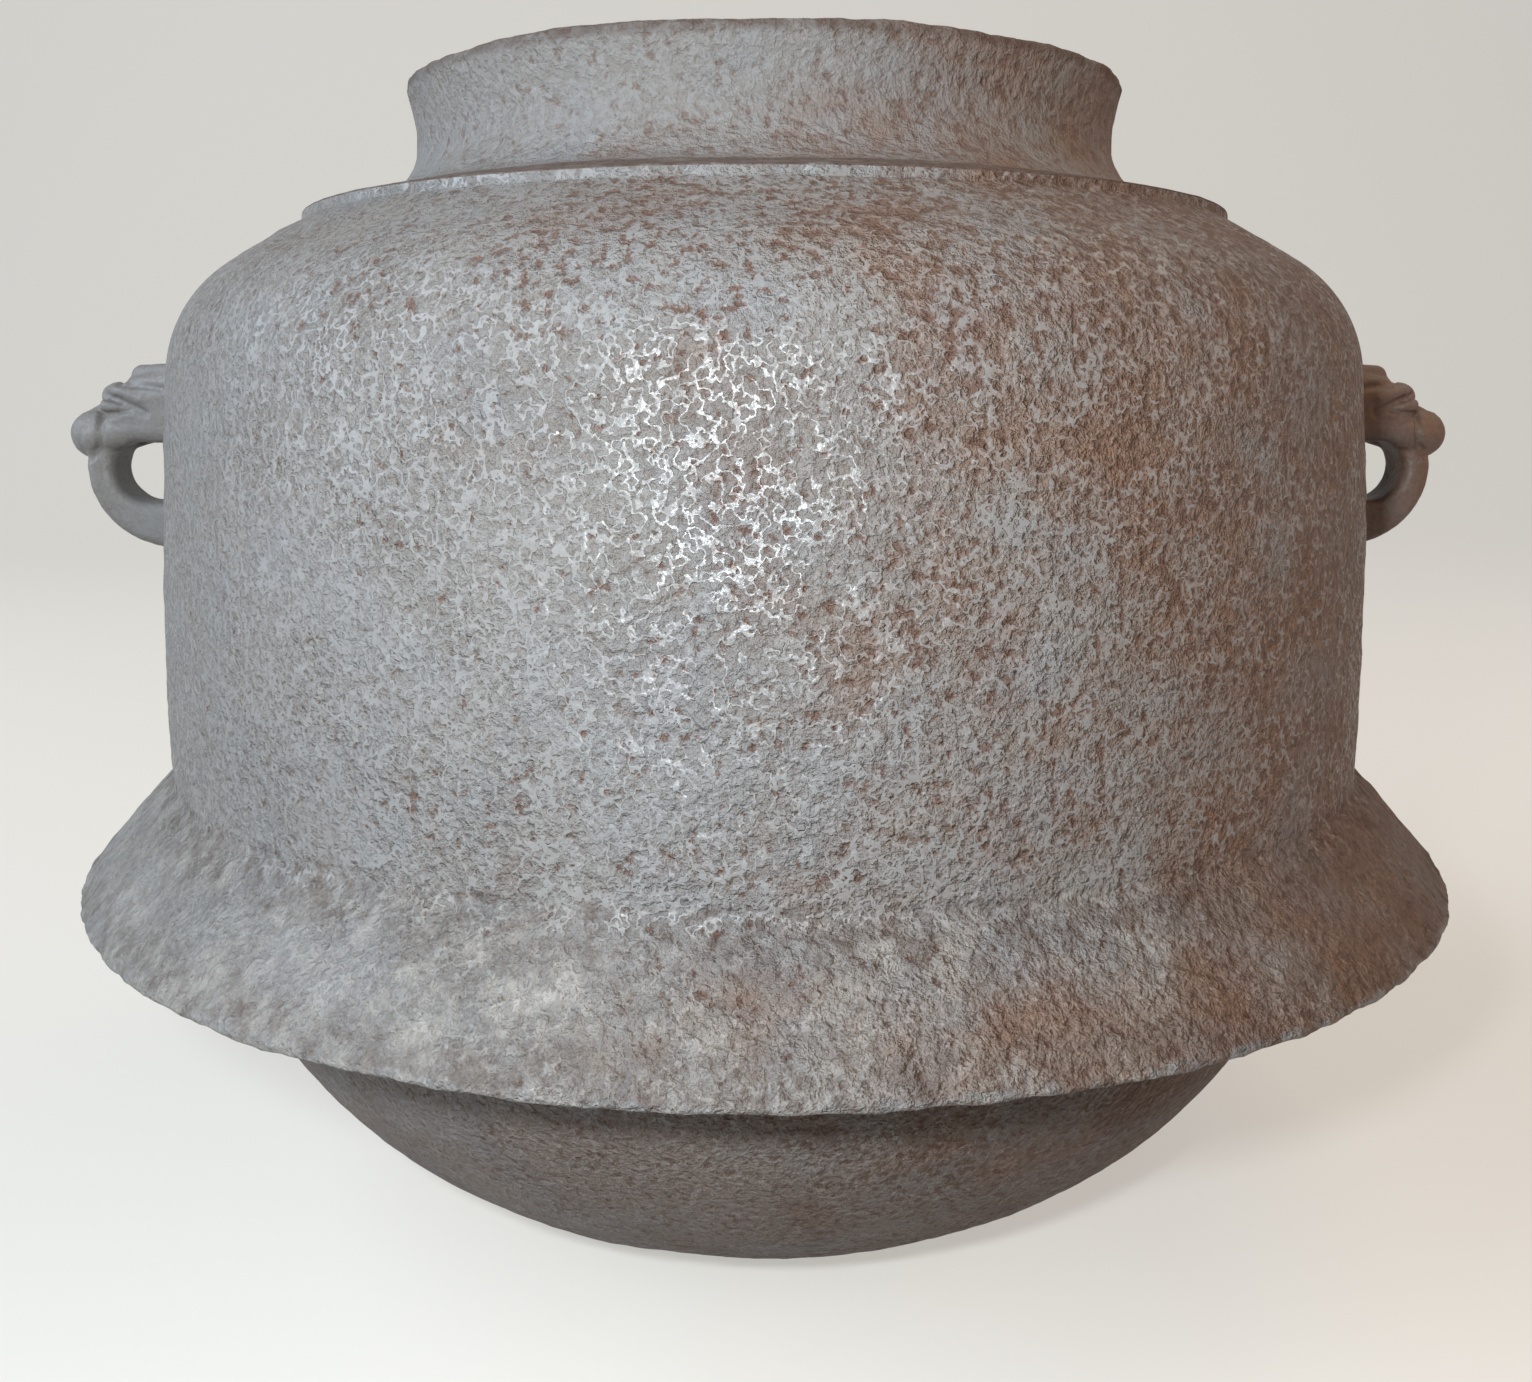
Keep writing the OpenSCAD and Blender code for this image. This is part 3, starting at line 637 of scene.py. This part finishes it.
def makeLug(node):
    deselectAll()
    piece = nodes[node].copy()
    piece.data = nodes[node].data.copy()
    piece.name = "maskLug." + node.split("_")[0]
    piece.parent = None
    bpy.context.collection.objects.link(piece)
    makeActive(piece)
    bpy.ops.object.mode_set(mode="EDIT")
    bpy.ops.mesh.select_all(action="SELECT")
    bpy.ops.mesh.remove_doubles(threshold=0.01 * mm)
    bpy.ops.object.mode_set(mode="OBJECT")
    remesh = piece.modifiers.new("even", "REMESH")
    remesh.mode = "VOXEL"
    remesh.voxel_size = lugs["voxel"] * mm
    smooth = piece.modifiers.new("soften", "SMOOTH")
    smooth.factor = 0.5
    smooth.iterations = lugs["soften"]
    applyModifiers(piece)
    carve(piece, "grooves", lugs["grooves"], lugs["grooveWidth"], -lugs["grooveDepth"])
    carve(piece, "folds", lugs["folds"], lugs["foldWidth"], lugs["foldHeight"])
    lumps(piece, node + "Lumps", lugs["lumpSize"], lugs["lumpStrength"], 3, middle=lugs["lumpMiddle"])
    applyModifiers(piece)
    bpy.ops.object.shade_smooth()
    piece.data.materials.clear()
    piece.data.materials.append(lugIron)
    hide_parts(node)
    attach(piece, "kettle")
    print(piece.name, "made,", len(piece.data.polygons), "faces")


for node in ("left_lug", "right_lug"):
    makeLug(node)


# Pieces that keep their cast or turned form

def finishNode(node, material):
    mesh = nodes[node].data
    mesh.materials.clear()
    mesh.materials.append(material)


for index in range(1, 6):
    finishNode("singing_plate_%d" % index, plateIron)
    finishNode("lacquer_pad_%d" % index, lacquer)
finishNode("seam_putty", lacquer)
finishNode("lid", lidBronze)
for node in ("knob_seat", "lid_knob", "knob_pin", "pin_washer"):
    finishNode(node, knobBronze)
print("other pieces finished")


# Camera, at the distance and tilt of the photograph

camera = {"distance": 292.9, "height": 146.4, "tilt": 10.9, "turn": 1.25, "lens": 35.85, "shift": 0.0011,
          "sensor": 36.0, "clip": 0.01}


def makeCamera():
    s = camera
    turn = math.radians(s["turn"])
    spot = Vector((-math.sin(turn) * s["distance"], -math.cos(turn) * s["distance"], s["height"])) * mm
    bpy.ops.object.camera_add(location=spot, rotation=(math.radians(90 - s["tilt"]), 0, -turn))
    lens = bpy.context.object.data
    lens.sensor_width = s["sensor"]
    lens.lens = s["lens"]
    lens.shift_x = s["shift"]
    lens.clip_start = s["clip"]
    bpy.context.scene.camera = bpy.context.object


makeCamera()


# Pale sweep and soft light

stage = {"half": 4.0, "back": 1.6, "bend": 0.5, "color": (0.33, 0.32, 0.30), "glow": 1.45, "sky": 0.78,
         "fill": 0.08, "air": (1.0, 0.97, 0.93), "heart": (0, 0, 0.11)}
lamps = [
    {"name": "frontLamp", "spot": (-0.04, -0.295, 0.175), "size": 0.02, "power": 1.0,
     "color": (0.89, 0.96, 1.0)},
    {"name": "leftLamp", "spot": (-1.15, -0.35, 0.80), "size": 1.3, "power": 28.0,
     "color": (0.74, 0.87, 1.0)},
    {"name": "rightLamp", "spot": (1.1, -0.35, 0.6), "size": 0.6, "power": 2.9,
     "color": (1.0, 0.40, 0.10)},
    {"name": "topLamp", "spot": (0.55, 0.05, 1.15), "size": 0.8, "power": 4.0,
     "color": (1.0, 0.70, 0.42)},
]


def makeStage():
    deselectAll()
    bpy.ops.mesh.primitive_plane_add(size=2 * stage["half"], location=(0, stage["back"] - stage["half"], 0))
    sweep = bpy.context.object
    sweep.name = "sweep"
    bpy.ops.object.mode_set(mode="EDIT")
    bpy.ops.mesh.select_mode(type="EDGE")
    bpy.ops.mesh.select_all(action="DESELECT")
    bpy.ops.object.mode_set(mode="OBJECT")
    for edge in sweep.data.edges:
        edge.select = all(sweep.data.vertices[i].co.y > 0 for i in edge.vertices)
    bpy.ops.object.mode_set(mode="EDIT")
    bpy.ops.mesh.extrude_region_move(TRANSFORM_OT_translate={"value": (0, 0, stage["half"])})
    bpy.ops.object.mode_set(mode="OBJECT")
    bend = sweep.modifiers.new("bend", "BEVEL")
    bend.width = stage["bend"]
    bend.segments = 24
    bend.limit_method = "ANGLE"
    applyModifiers(sweep)
    bpy.ops.object.transform_apply(location=True, rotation=False, scale=False)
    bpy.ops.object.shade_smooth()
    g = Graph("sweepPaint")
    g.shader.inputs["Base Color"].default_value = (*stage["color"], 1.0)
    g.shader.inputs["Roughness"].default_value = 0.8
    g.shader.inputs["Emission Color"].default_value = (*stage["color"], 1.0)
    rays = g.add("ShaderNodeLightPath").outputs
    mirrored = g.math("MAXIMUM", rays["Is Glossy Ray"], rays["Is Transmission Ray"])
    seen = g.math("MAXIMUM", rays["Is Camera Ray"], mirrored)
    g.join(g.math("MULTIPLY", seen, stage["glow"]), g.shader.inputs["Emission Strength"])
    sweep.data.materials.append(g.material)


def makeLamp(s):
    bpy.ops.object.light_add(type="AREA", location=s["spot"])
    lamp = bpy.context.object
    lamp.name = s["name"]
    lamp.data.size = s["size"]
    lamp.data.energy = s["power"]
    lamp.data.color = s["color"]
    lamp.rotation_euler = (Vector(stage["heart"]) - Vector(s["spot"])).to_track_quat("-Z", "Y").to_euler()


# A weak fill, and a pale sky where it is seen directly, mirrored or through something
def makeRoom():
    world = bpy.data.worlds.new("softRoom")
    bpy.context.scene.world = world
    world.use_nodes = True
    room = world.node_tree
    background = room.nodes["Background"].inputs
    background["Color"].default_value = (*stage["air"], 1.0)
    rays = room.nodes.new("ShaderNodeLightPath").outputs
    seen = rays["Is Camera Ray"]
    for ray in ("Is Glossy Ray", "Is Transmission Ray"):
        either = room.nodes.new("ShaderNodeMath")
        either.operation = "MAXIMUM"
        room.links.new(seen, either.inputs[0])
        room.links.new(rays[ray], either.inputs[1])
        seen = either.outputs["Value"]
    strength = room.nodes.new("ShaderNodeMath")
    strength.operation = "MULTIPLY_ADD"
    room.links.new(seen, strength.inputs[0])
    strength.inputs[1].default_value = stage["sky"] - stage["fill"]
    strength.inputs[2].default_value = stage["fill"]
    room.links.new(strength.outputs["Value"], background["Strength"])


makeStage()
for lamp in lamps:
    makeLamp(lamp)
makeRoom()
bpy.context.scene.view_settings.view_transform = "Standard"
print("stage and lamps set")
